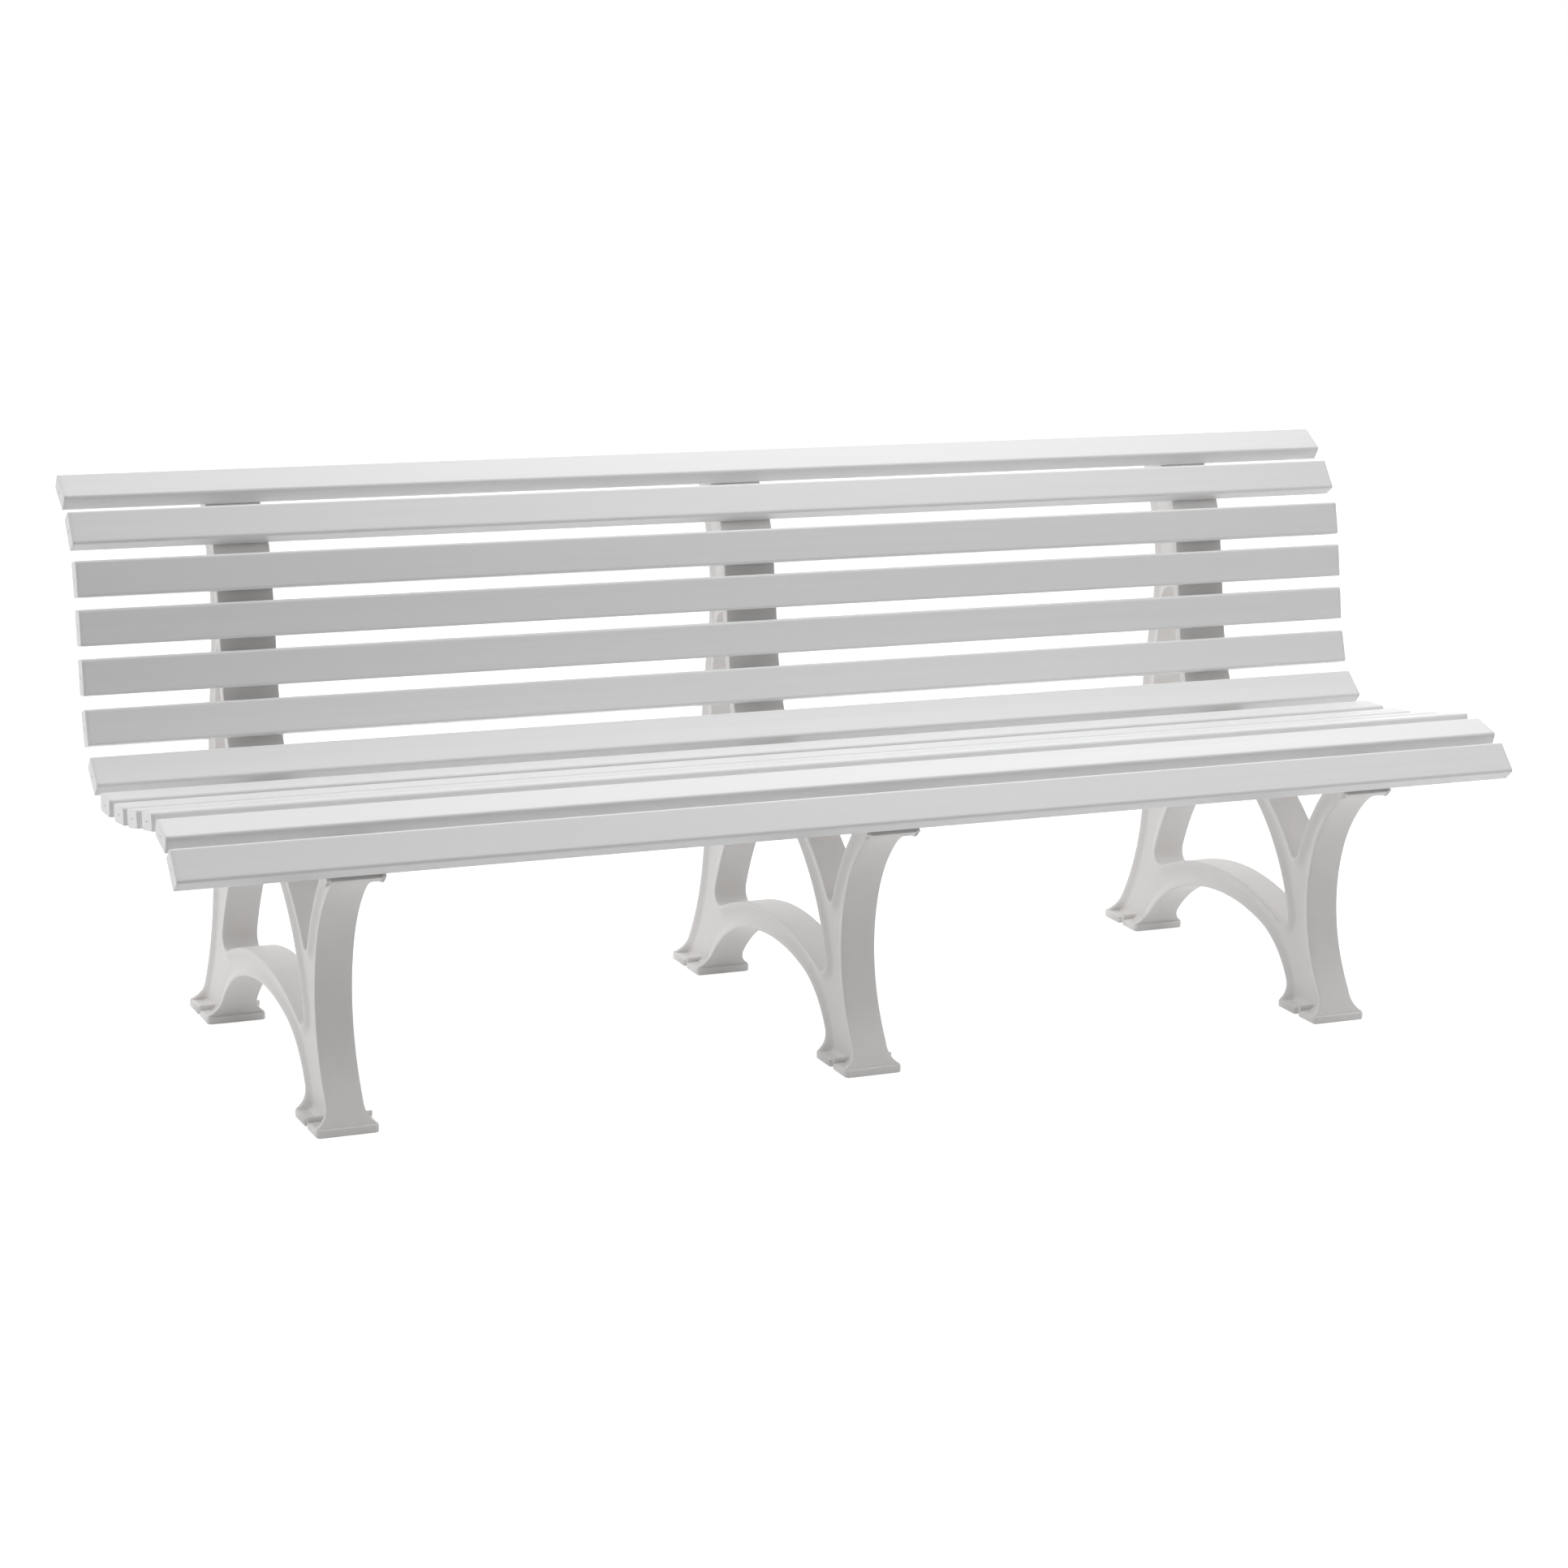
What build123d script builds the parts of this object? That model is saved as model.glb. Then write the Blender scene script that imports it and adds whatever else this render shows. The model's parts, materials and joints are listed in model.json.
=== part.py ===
from build123d import *
from math import cos, radians, sin
import os

# Park bench: thirteen hollow plastic slats on three moulded plastic frames, all sizes in millimetres.
# The bench stands on the XY plane with its length along X and its front towards -Y. Side views are drawn
# in (y, z) with y = 0 at the front edge of the front foot, and are then centred on the bench's depth.

os.makedirs("parts", exist_ok=True)

# Bench: overall length, and how far the slats reach past the middle of each outer frame
LENGTH = 2000.0
SLAT_OVERHANG = 239.0

# Slat section: a rounded box with three chambers
SLAT_WIDTH = 50.0
SLAT_THICKNESS = 25.0
SLAT_CORNER = 4.0
SLAT_WALL = 2.5
SLAT_WEB = 2.0
CHAMBER_CORNER = 1.2

# End cap: a plate over the slat's end, with two spigots pushed into the outer chambers
CAP_THICKNESS = 3.0
CAP_EDGE = 1.2
SPIGOT_LENGTH = 18.0
SPIGOT_CLEARANCE = 0.2
DIMPLE_DIAMETER = 5.0
DIMPLE_DEPTH = 1.2

# Slat rows from the front edge of the seat to the top of the back: name, tilt of the slat's width
# above the level in degrees, distance along the rail to the next row
ROWS = [
    ("front_slat_lower", 47.0, 53.5),
    ("front_slat_upper", 16.0, 62.5),
    ("seat_slat_1", -10.5, 77.5),
    ("seat_slat_2", -11.5, 74.0),
    ("seat_slat_3", -6.0, 76.5),
    ("seat_slat_4", -1.5, 81.5),
    ("corner_slat", 40.0, 76.5),
    ("back_slat_1", 71.5, 71.0),
    ("back_slat_2", 80.0, 67.0),
    ("back_slat_3", 79.5, 65.0),
    ("back_slat_4", 76.0, 63.0),
    ("back_slat_5", 53.5, 63.0),
    ("back_slat_6", 31.5, 0.0),
]
FIRST_SEAT = (-19.0, 377.0)

# Rail of the frame: a wide flange under the slats with a lip along each side
RAIL_WIDTH = 80.0
RAIL_THICKNESS = 6.0
RAIL_EDGE = 2.0
RAIL_END = 3.0
LIP_THICKNESS = 5.0
LIP_DEPTH = 16.0
FRONT_LIP_DEPTH = 13.0
RIB_DEPTH = 28.0

# Legs, arch and arms of the frame: one thick web with rounded rims
CORE_WIDTH = 52.0
RIM_EDGE = 3.0

# Feet
BASE_WIDTH = 86.0
BASE_LENGTH = 104.0
BASE_THICKNESS = 11.0
BASE_CORNER = 6.0
BASE_EDGE = 2.0
REAR_BASE = 532.0
FLARE_TOP = 45.0
FLARE_DEPTH = 13.0
FLARE_INSET = 3.0
HEAD_FLARE_START = 318.0
HEAD_FLARE_END = 350.0
HEAD_FLARE_TOP = 356.0

# Ground-fixing slots, open at both sides of each foot, and the bead in front of them
FIXING_SLOT_WIDTH = 11.0
FIXING_SLOT_DEPTH = 13.0
FIXING_SLOT_SETBACK = 50.0
BEAD_WIDTH = 6.0
BEAD_HEIGHT = 4.5
BEAD_SETBACK = 40.0
BEAD_LENGTH = 90.0

# Screws: two where each slat crosses each frame
SCREW_SPREAD = 30.5
SCREW_DIAMETER = 4.0
SCREW_REACH = 13.0
SCREW_HEAD_DIAMETER = 8.0
SCREW_HEAD_HEIGHT = 3.0
SCREW_HEAD_EDGE = 1.2
SCREW_DRIVE_LENGTH = 4.4
SCREW_DRIVE_WIDTH = 1.0
SCREW_DRIVE_DEPTH = 1.5
FLANGE_HOLE_CLEARANCE = 0.5
PILOT_CLEARANCE = 0.1

# Side-view points of the frame's outline
FRONT_WALL_SETBACK = 1.0
FRONT_LEG_FOOT = (25.0, 52.0)
FRONT_LEG_WAIST = (65.0, 190.0)
FRONT_LEG_KNEE = (55.0, 250.0)
ARCH_FRONT = (196.0, 106.0)
ARCH_CROWN = (310.0, 121.0)
ARCH_REAR = (418.0, 103.0)
REAR_LEG_BOW = (583.0, 100.0)
REAR_LEG_WAIST = (562.0, 195.0)
REAR_POST_BULGE = (579.0, 400.0)
REAR_POST_HOLLOW = (558.5, 590.0)
REAR_POST_TOP = (620.0, 765.0)
REAR_POST_TOP_SLOPE = (0.42, 0.9)
REAR_POST_TOP_RADIUS = 10.0

# Side-view points of the three openings in the frame
FRONT_OPENING_FLOOR = (105.0, 216.0)
FRONT_OPENING_FRONT = (79.0, 284.0)
FRONT_OPENING_REAR = (157.0, 274.0)
FRONT_OPENING_RADII = (8.0, 10.0, 4.0)
MIDDLE_OPENING_FRONT_CORNER = (108.0, 104.0)
MIDDLE_OPENING_FRONT = (152.0, 211.0)
MIDDLE_OPENING_APEX = (352.0, 344.0)
MIDDLE_OPENING_REAR = (480.0, 215.0)
MIDDLE_OPENING_REAR_CORNER = (523.0, 103.0)
MIDDLE_OPENING_SILL = (310.0, 157.0)
MIDDLE_OPENING_RADII = (15.0, 18.0, 8.0)
REAR_OPENING_ARM = (450.0, 310.0)
REAR_OPENING_FLOOR = (505.0, 252.0)
REAR_OPENING_FLOOR_RADIUS = 14.0
REAR_OPENING_BACK = (541.0, 410.0)
REAR_OPENING_SHOULDER = (530.0, 530.0)
REAR_OPENING_TOP_SETBACK = 8.0

# Values that follow from the sizes above
FRAME_SPACING = LENGTH / 2 - SLAT_OVERHANG
FLAT = SLAT_WIDTH / 2 - SLAT_CORNER
CHAMBER_WIDTH = (SLAT_WIDTH - 2 * SLAT_WALL - 2 * SLAT_WEB) / 3
CHAMBER_HEIGHT = SLAT_THICKNESS - 2 * SLAT_WALL
CHAMBER_PITCH = CHAMBER_WIDTH + SLAT_WEB
FLANGE_HOLE_LENGTH = 3 * RAIL_THICKNESS
LAST = len(ROWS) - 1


def seat_points():
    """Middle of each slat's seat: every step to the next row points half-way between the two tilts."""
    points = [FIRST_SEAT]
    for (_, tilt, pitch), (_, next_tilt, _) in zip(ROWS, ROWS[1:]):
        heading = radians((tilt + next_tilt) / 2)
        y, z = points[-1]
        points.append((y + pitch * cos(heading), z + pitch * sin(heading)))
    return points


SEATS = seat_points()


def along(row):
    """Direction of a row's width, rising to the back."""
    tilt = radians(ROWS[row][1])
    return cos(tilt), sin(tilt)


def on_seat(row, shift, depth=0.0):
    """Point at a shift along a row's seat and at a depth under it."""
    (y, z), (c, s) = SEATS[row], along(row)
    return y + shift * c + depth * s, z + shift * s - depth * c


def slat_reach(row):
    """Distance of a tilted slat's front-most point in front of the middle of its seat."""
    c, s = along(row)
    return FLAT * c + (SLAT_THICKNESS - SLAT_CORNER) * s + SLAT_CORNER


FRONT_REACH = SEATS[0][0] - slat_reach(0)
DEPTH_CENTRE = (FRONT_REACH + REAR_BASE + BASE_LENGTH) / 2


def side_plane(x):
    """Plane of a side view at x, with y to the right and z up."""
    return Plane(origin=(x, -DEPTH_CENTRE, 0), x_dir=(0, 1, 0), z_dir=(1, 0, 0))


def seat_plane(row, x):
    """Plane on a row's seat at x, with its normal pointing out of the rail."""
    (y, z), (c, s) = SEATS[row], along(row)
    return Plane(origin=(x, y - DEPTH_CENTRE, z), x_dir=(1, 0, 0), z_dir=(0, -s, c))


def slat_plane(row, x):
    """Plane of a row's cross-section at x, with the slat's width to the right and its outer face up."""
    (y, z), (c, s) = SEATS[row], along(row)
    return Plane(origin=(x, y - DEPTH_CENTRE, z), x_dir=(0, c, s), z_dir=(1, 0, 0))


def rail_line(start, first, last, end, depth=0.0):
    """Straight seats from row first to row last, joined by arcs that are tangent to both of them."""
    Line(start, on_seat(first, FLAT, depth))
    for row in range(first + 1, last + 1):
        arc_start = on_seat(row - 1, FLAT, depth)
        seat_start = on_seat(row, -FLAT, depth)
        TangentArc(arc_start, seat_start, tangent=along(row - 1))
        Line(seat_start, on_seat(row, FLAT, depth) if row < last else end)


def rail_band(depth):
    """Closed band from the slat seats down to a depth under them, over the whole rail."""
    top_shift = SLAT_WIDTH / 2 + RAIL_END
    front, front_low = on_seat(0, -SLAT_WIDTH / 2), on_seat(0, -SLAT_WIDTH / 2, depth)
    top, top_low = on_seat(LAST, top_shift), on_seat(LAST, top_shift, depth)
    with BuildLine() as band:
        rail_line(front, 0, LAST, top)
        rail_line(front_low, 0, LAST, top_low, depth)
        Line(front, front_low)
        Line(top, top_low)
    return band.edges()


def nearest_corner(sketch, corner):
    """Vertex of a side-view sketch that lies nearest to a drawn point."""
    y, z = corner
    return sketch.vertices().sort_by_distance((y, z, 0))[0]


SCREW_PLACES = [(row, x) for row in range(len(ROWS)) for x in (-SCREW_SPREAD, SCREW_SPREAD)]

# Outline of the frame's web in side view, without its openings
with BuildSketch(side_plane(0)) as web_outline:
    wall_top = on_seat(0, FRONT_WALL_SETBACK - SLAT_WIDTH / 2)
    rail_top = on_seat(LAST, SLAT_WIDTH / 2 + RAIL_END)
    with BuildLine():
        front_leg = ThreePointArc(FRONT_LEG_FOOT, FRONT_LEG_WAIST, FRONT_LEG_KNEE)
        TangentArc(FRONT_LEG_KNEE, wall_top, tangent=front_leg % 1)
        flare = TangentArc(FRONT_LEG_FOOT, (FLARE_INSET, BASE_THICKNESS), tangent=-(front_leg % 0))
        Polyline((FLARE_INSET, BASE_THICKNESS), (FLARE_INSET, 0), (BASE_LENGTH - FLARE_INSET, 0),
                 (BASE_LENGTH - FLARE_INSET, BASE_THICKNESS))
        crown = ThreePointArc(ARCH_FRONT, ARCH_CROWN, ARCH_REAR)
        TangentArc(ARCH_FRONT, (BASE_LENGTH - FLARE_INSET, BASE_THICKNESS), tangent=-(crown % 0))
        TangentArc(ARCH_REAR, (REAR_BASE + FLARE_INSET, BASE_THICKNESS), tangent=crown % 1)
        rear_edge = REAR_BASE + BASE_LENGTH - FLARE_INSET
        Polyline((REAR_BASE + FLARE_INSET, BASE_THICKNESS), (REAR_BASE + FLARE_INSET, 0),
                 (rear_edge, 0), (rear_edge, BASE_THICKNESS))
        rear_leg = ThreePointArc((rear_edge, BASE_THICKNESS), REAR_LEG_BOW, REAR_LEG_WAIST)
        post = Spline(REAR_LEG_WAIST, REAR_POST_BULGE, REAR_POST_HOLLOW, REAR_POST_TOP,
                      tangents=(rear_leg % 1, REAR_POST_TOP_SLOPE))
        TangentArc(rail_top, REAR_POST_TOP, tangent=along(LAST))
        rail_line(wall_top, 0, LAST, rail_top)
    make_face()
    fillet(nearest_corner(web_outline, REAR_POST_TOP), REAR_POST_TOP_RADIUS)

# Opening between the two arms of the front leg, closed at the top by the rail's rib
with BuildSketch(side_plane(0)) as front_opening:
    rib_front = on_seat(1, -FLAT, RIB_DEPTH)
    rib_rear = on_seat(5, -FLAT, RIB_DEPTH)
    with BuildLine():
        ThreePointArc(FRONT_OPENING_FLOOR, FRONT_OPENING_FRONT, rib_front)
        rail_line(rib_front, 1, 4, on_seat(4, FLAT, RIB_DEPTH), RIB_DEPTH)
        TangentArc(on_seat(4, FLAT, RIB_DEPTH), rib_rear, tangent=along(4))
        ThreePointArc(FRONT_OPENING_FLOOR, FRONT_OPENING_REAR, rib_rear)
    make_face()
    for corner, radius in zip((FRONT_OPENING_FLOOR, rib_front, rib_rear), FRONT_OPENING_RADII):
        fillet(nearest_corner(front_opening, corner), radius)

# Large opening between the arms and the arch
with BuildSketch(side_plane(0)) as middle_opening:
    corners = (MIDDLE_OPENING_FRONT_CORNER, MIDDLE_OPENING_REAR_CORNER, MIDDLE_OPENING_APEX)
    with BuildLine():
        ThreePointArc(MIDDLE_OPENING_FRONT_CORNER, MIDDLE_OPENING_FRONT, MIDDLE_OPENING_APEX)
        ThreePointArc(MIDDLE_OPENING_REAR_CORNER, MIDDLE_OPENING_REAR, MIDDLE_OPENING_APEX)
        ThreePointArc(MIDDLE_OPENING_FRONT_CORNER, MIDDLE_OPENING_SILL, MIDDLE_OPENING_REAR_CORNER)
    make_face()
    for corner, radius in zip(corners, MIDDLE_OPENING_RADII):
        fillet(nearest_corner(middle_opening, corner), radius)

# Opening between the rail of the back and the rear post
with BuildSketch(side_plane(0)) as rear_opening:
    rib_low = on_seat(6, FLAT, RIB_DEPTH)
    rib_high = on_seat(8, FLAT - REAR_OPENING_TOP_SETBACK, RIB_DEPTH)
    with BuildLine():
        TangentArc(rib_low, on_seat(7, -FLAT, RIB_DEPTH), tangent=along(6))
        rail_line(on_seat(7, -FLAT, RIB_DEPTH), 7, 8, rib_high, RIB_DEPTH)
        TangentArc(rib_high, REAR_OPENING_SHOULDER, tangent=along(8))
        ThreePointArc(REAR_OPENING_SHOULDER, REAR_OPENING_BACK, REAR_OPENING_FLOOR)
        ThreePointArc(REAR_OPENING_FLOOR, REAR_OPENING_ARM, rib_low)
    make_face()
    fillet(nearest_corner(rear_opening, REAR_OPENING_FLOOR), REAR_OPENING_FLOOR_RADIUS)

# Web of the frame with its openings
with BuildSketch(side_plane(0)) as web_profile:
    add(web_outline.sketch_local)
    for opening in (front_opening, middle_opening, rear_opening):
        add(opening.sketch_local, mode=Mode.SUBTRACT)

# Web of the legs, arch and arms, with rounded rims
with BuildPart() as web:
    with BuildSketch(side_plane(0)):
        add(web_profile.sketch_local)
    extrude(amount=CORE_WIDTH / 2, both=True)
    flats = web.faces().filter_by(Axis.X).group_by(Axis.X)
    fillet(flats[0].edges() + flats[-1].edges(), RIM_EDGE)

# Front-view outlines that the flared edges of the legs are trimmed to
with BuildSketch(Plane.XZ) as foot_flare:
    with BuildLine():
        for side in (-1, 1):
            ankle = (side * CORE_WIDTH / 2, FLARE_TOP)
            toe = (side * BASE_WIDTH / 2, BASE_THICKNESS)
            TangentArc(ankle, toe, tangent=(0, -1))
            Line(toe, (side * BASE_WIDTH / 2, 0))
        Line((-CORE_WIDTH / 2, FLARE_TOP), (CORE_WIDTH / 2, FLARE_TOP))
        Line((-BASE_WIDTH / 2, 0), (BASE_WIDTH / 2, 0))
    make_face()

with BuildSketch(Plane.XZ) as head_flare:
    with BuildLine():
        for side in (-1, 1):
            neck = (side * CORE_WIDTH / 2, HEAD_FLARE_START)
            shoulder = (side * RAIL_WIDTH / 2, HEAD_FLARE_END)
            TangentArc(neck, shoulder, tangent=(0, 1))
            Line(shoulder, (side * RAIL_WIDTH / 2, HEAD_FLARE_TOP))
        Line((-CORE_WIDTH / 2, HEAD_FLARE_START), (CORE_WIDTH / 2, HEAD_FLARE_START))
        Line((-RAIL_WIDTH / 2, HEAD_FLARE_TOP), (RAIL_WIDTH / 2, HEAD_FLARE_TOP))
    make_face()


def flared_edges(shift, flare, both_legs):
    """Strip of the web's outline along its edges on one side, trimmed to a flare seen from the front."""
    with BuildPart() as strip:
        with BuildSketch(side_plane(0)):
            add(web_outline.sketch_local)
            with Locations((shift, 0)):
                add(web_outline.sketch_local, mode=Mode.SUBTRACT)
        extrude(amount=BASE_WIDTH / 2, both=True)
        extrude(flare.sketch, amount=LENGTH, both=both_legs, mode=Mode.INTERSECT)
    return strip.part


# Foot: a plate with a fixing slot open at each side and a bead across it
with BuildPart() as foot:
    with BuildSketch(Plane.XY):
        RectangleRounded(BASE_WIDTH, BASE_LENGTH, BASE_CORNER)
        with Locations((-BASE_WIDTH / 2, FIXING_SLOT_SETBACK - BASE_LENGTH / 2),
                       (BASE_WIDTH / 2, FIXING_SLOT_SETBACK - BASE_LENGTH / 2)):
            SlotOverall(2 * FIXING_SLOT_DEPTH, FIXING_SLOT_WIDTH, mode=Mode.SUBTRACT)
    extrude(amount=BASE_THICKNESS)
    fillet(foot.faces().sort_by(Axis.Z)[-1].edges(), BASE_EDGE)
    with BuildSketch(Plane.YZ):
        with Locations((BEAD_SETBACK - BASE_LENGTH / 2, BASE_THICKNESS + BEAD_HEIGHT / 2 - BEAD_WIDTH / 2)):
            SlotOverall(BEAD_HEIGHT + BEAD_WIDTH, BEAD_WIDTH, rotation=90)
    extrude(amount=BEAD_LENGTH / 2, both=True)

# Rail: the flange under the slats with its lips along both sides and across the front
with BuildPart() as rail:
    with BuildSketch(side_plane(0)):
        make_face(rail_band(RAIL_THICKNESS))
    extrude(amount=RAIL_WIDTH / 2, both=True)
    for side in (-1, 1):
        with BuildSketch(side_plane(side * RAIL_WIDTH / 2)):
            make_face(rail_band(LIP_DEPTH))
        extrude(amount=-side * LIP_THICKNESS)
    with BuildSketch(side_plane(0)):
        with BuildLine():
            lip_front, lip_back = -SLAT_WIDTH / 2, LIP_THICKNESS - SLAT_WIDTH / 2
            Polyline(on_seat(0, lip_front), on_seat(0, lip_back), on_seat(0, lip_back, FRONT_LIP_DEPTH),
                     on_seat(0, lip_front, FRONT_LIP_DEPTH), close=True)
        make_face()
    extrude(amount=RAIL_WIDTH / 2, both=True)
    flats = rail.faces().filter_by(Axis.X).group_by(Axis.X)
    fillet(flats[0].edges() + flats[-1].edges(), RAIL_EDGE)

# One moulded frame
with BuildPart() as frame:
    add(web.part)
    add(rail.part)
    add(flared_edges(FLARE_DEPTH, foot_flare, both_legs=True))
    add(flared_edges(-FLARE_DEPTH, foot_flare, both_legs=True))
    add(flared_edges(FLARE_DEPTH, head_flare, both_legs=False))
    for foot_front in (0.0, REAR_BASE):
        with Locations((0, foot_front + BASE_LENGTH / 2 - DEPTH_CENTRE, 0)):
            add(foot.part)
    with Locations(*[seat_plane(row, x) for row, x in SCREW_PLACES]):
        Cylinder((SCREW_DIAMETER + FLANGE_HOLE_CLEARANCE) / 2, FLANGE_HOLE_LENGTH, mode=Mode.SUBTRACT)

# One screw, standing on the seat that it passes through, with its head under the flange
with BuildPart() as screw:
    with BuildSketch(Plane.XY.offset(-RAIL_THICKNESS)):
        Circle(SCREW_HEAD_DIAMETER / 2)
    extrude(amount=-SCREW_HEAD_HEIGHT)
    fillet(screw.edges().sort_by(Axis.Z)[0], SCREW_HEAD_EDGE)
    with BuildSketch(Plane.XY.offset(-RAIL_THICKNESS)):
        Circle(SCREW_DIAMETER / 2)
    extrude(amount=RAIL_THICKNESS + SCREW_REACH)
    chamfer(screw.edges().sort_by(Axis.Z)[-1], SCREW_DIAMETER / 4)
    with BuildSketch(Plane.XY.offset(-RAIL_THICKNESS - SCREW_HEAD_HEIGHT)):
        Rectangle(SCREW_DRIVE_LENGTH, SCREW_DRIVE_WIDTH)
        Rectangle(SCREW_DRIVE_WIDTH, SCREW_DRIVE_LENGTH)
    extrude(amount=SCREW_DRIVE_DEPTH, mode=Mode.SUBTRACT)

# The three frames with their screws
for side, x in (("left", -FRAME_SPACING), ("middle", 0.0), ("right", FRAME_SPACING)):
    with BuildPart() as placed_frame:
        with Locations((x, 0, 0)):
            add(frame.part)
    placed_frame.part.label = f"{side}_frame"
    export_step(placed_frame.part, f"parts/{side}_frame.step")

    with BuildPart() as screw_set:
        with Locations(*[seat_plane(row, x + spread) for row, spread in SCREW_PLACES]):
            add(screw.part)
    screw_set.part.label = f"{side}_frame_screws"
    export_step(screw_set.part, f"parts/{side}_frame_screws.step")

# The slats with their end caps
BODY_HALF = LENGTH / 2 - CAP_THICKNESS
for row, (name, _, _) in enumerate(ROWS):
    with BuildPart() as slat:
        with BuildSketch(slat_plane(row, 0)):
            with Locations((0, SLAT_THICKNESS / 2)):
                RectangleRounded(SLAT_WIDTH, SLAT_THICKNESS, SLAT_CORNER)
                with GridLocations(CHAMBER_PITCH, 0, 3, 1):
                    RectangleRounded(CHAMBER_WIDTH, CHAMBER_HEIGHT, CHAMBER_CORNER, mode=Mode.SUBTRACT)
        extrude(amount=BODY_HALF, both=True)
        pilots = [seat_plane(row, x + spread) for x in (-FRAME_SPACING, 0.0, FRAME_SPACING)
                  for spread in (-SCREW_SPREAD, SCREW_SPREAD)]
        with Locations(*pilots):
            Cylinder((SCREW_DIAMETER + PILOT_CLEARANCE) / 2, 2 * SLAT_WALL, mode=Mode.SUBTRACT)
    slat.part.label = name
    export_step(slat.part, f"parts/{name}.step")

    for side, outward in (("left", -1), ("right", 1)):
        with BuildPart() as cap:
            with BuildSketch(slat_plane(row, outward * BODY_HALF)):
                with Locations((0, SLAT_THICKNESS / 2)):
                    RectangleRounded(SLAT_WIDTH, SLAT_THICKNESS, SLAT_CORNER)
            extrude(amount=outward * CAP_THICKNESS)
            outer_face = cap.faces().sort_by(Axis.X)[0 if outward < 0 else -1]
            fillet(outer_face.edges(), CAP_EDGE)
            with BuildSketch(slat_plane(row, outward * LENGTH / 2)):
                with Locations((0, SLAT_THICKNESS / 2)):
                    Circle(DIMPLE_DIAMETER / 2)
            extrude(amount=-outward * DIMPLE_DEPTH, mode=Mode.SUBTRACT)
            with BuildSketch(slat_plane(row, outward * BODY_HALF)):
                with Locations((0, SLAT_THICKNESS / 2)):
                    with GridLocations(2 * CHAMBER_PITCH, 0, 2, 1):
                        RectangleRounded(CHAMBER_WIDTH - 2 * SPIGOT_CLEARANCE,
                                         CHAMBER_HEIGHT - 2 * SPIGOT_CLEARANCE, CHAMBER_CORNER)
            extrude(amount=-outward * SPIGOT_LENGTH)
        cap.part.label = f"{name}_{side}_cap"
        export_step(cap.part, f"parts/{name}_{side}_cap.step")
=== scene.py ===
# %% [markdown]
# A white park bench. Thirteen hollow plastic slats lie on three moulded plastic frames. The engineering
# model of the bench is already there as a fixed frame in metres, so this lesson only gives it its
# finished surfaces: soft edges, dished legs, end caps, plastic that looks extruded or moulded, and
# quiet studio light.

import json

import bmesh
import bpy
import numpy as np
from mathutils import Matrix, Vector
from mathutils.geometry import delaunay_2d_cdt


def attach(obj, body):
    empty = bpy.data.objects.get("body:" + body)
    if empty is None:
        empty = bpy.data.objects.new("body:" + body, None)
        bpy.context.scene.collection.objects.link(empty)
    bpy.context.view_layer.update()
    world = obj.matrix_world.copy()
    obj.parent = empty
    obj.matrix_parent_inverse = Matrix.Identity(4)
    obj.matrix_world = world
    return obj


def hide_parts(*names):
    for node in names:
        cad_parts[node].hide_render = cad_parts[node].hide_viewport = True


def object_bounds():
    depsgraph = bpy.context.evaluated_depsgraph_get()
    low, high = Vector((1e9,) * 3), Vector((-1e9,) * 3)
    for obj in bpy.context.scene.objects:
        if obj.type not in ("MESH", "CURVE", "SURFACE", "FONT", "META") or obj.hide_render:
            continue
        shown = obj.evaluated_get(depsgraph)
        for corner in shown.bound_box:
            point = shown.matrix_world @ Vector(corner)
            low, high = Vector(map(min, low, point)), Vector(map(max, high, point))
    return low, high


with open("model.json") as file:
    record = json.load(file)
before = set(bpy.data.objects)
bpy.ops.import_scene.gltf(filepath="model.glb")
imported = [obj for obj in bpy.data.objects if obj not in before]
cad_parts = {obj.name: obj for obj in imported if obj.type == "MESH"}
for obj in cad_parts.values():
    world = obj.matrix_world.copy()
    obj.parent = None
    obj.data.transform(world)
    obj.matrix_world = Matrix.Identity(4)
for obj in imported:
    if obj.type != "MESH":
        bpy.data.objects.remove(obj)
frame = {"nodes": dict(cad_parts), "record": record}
cad_low, cad_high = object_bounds()
nodes = frame["nodes"]
scene = bpy.context.scene
MM = 0.001
print("nodes:", len(nodes), "size in mm:", np.round((np.array(cad_high) - np.array(cad_low)) / MM, 1))

# %% [markdown]
# The camera comes first, because every later choice is judged through it. It was found by lining up the
# long straight slats and the feet with the picture. Yaw, pitch and roll turn it, a long lens keeps the
# slats nearly parallel, and the tiny shift only centres the picture.

# %% Camera
CAMERA_PLACE = (-2.1082, -4.5944, 1.5488)
CAMERA_YAW, CAMERA_PITCH, CAMERA_ROLL = np.radians([24.45, -13.12, 1.52])
CAMERA_LENS, SENSOR_WIDTH = 82.74, 36.0
CAMERA_SHIFT = (0.00065, -0.0088)


def camera_axes(yaw, pitch, roll):
    """Right, up and back of a camera along +Y, turned to +X by yaw, raised by pitch and then rolled."""
    ahead = np.array([np.sin(yaw) * np.cos(pitch), np.cos(yaw) * np.cos(pitch), np.sin(pitch)])
    level = np.array([np.cos(yaw), -np.sin(yaw), 0.0])
    upright = np.cross(level, ahead)
    right = np.cos(roll) * level + np.sin(roll) * upright
    up = np.cos(roll) * upright - np.sin(roll) * level
    return np.array([right, up, -ahead])


camera = bpy.data.objects.new("camera", bpy.data.cameras.new("camera"))
camera.data.lens = CAMERA_LENS
camera.data.sensor_width = SENSOR_WIDTH
camera.data.shift_x, camera.data.shift_y = CAMERA_SHIFT
turned = Matrix(camera_axes(CAMERA_YAW, CAMERA_PITCH, CAMERA_ROLL).T.tolist()).to_4x4()
camera.matrix_world = Matrix.Translation(CAMERA_PLACE) @ turned
scene.collection.objects.link(camera)
scene.camera = camera
print("camera at", CAMERA_PLACE, "lens", camera.data.lens)

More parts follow.
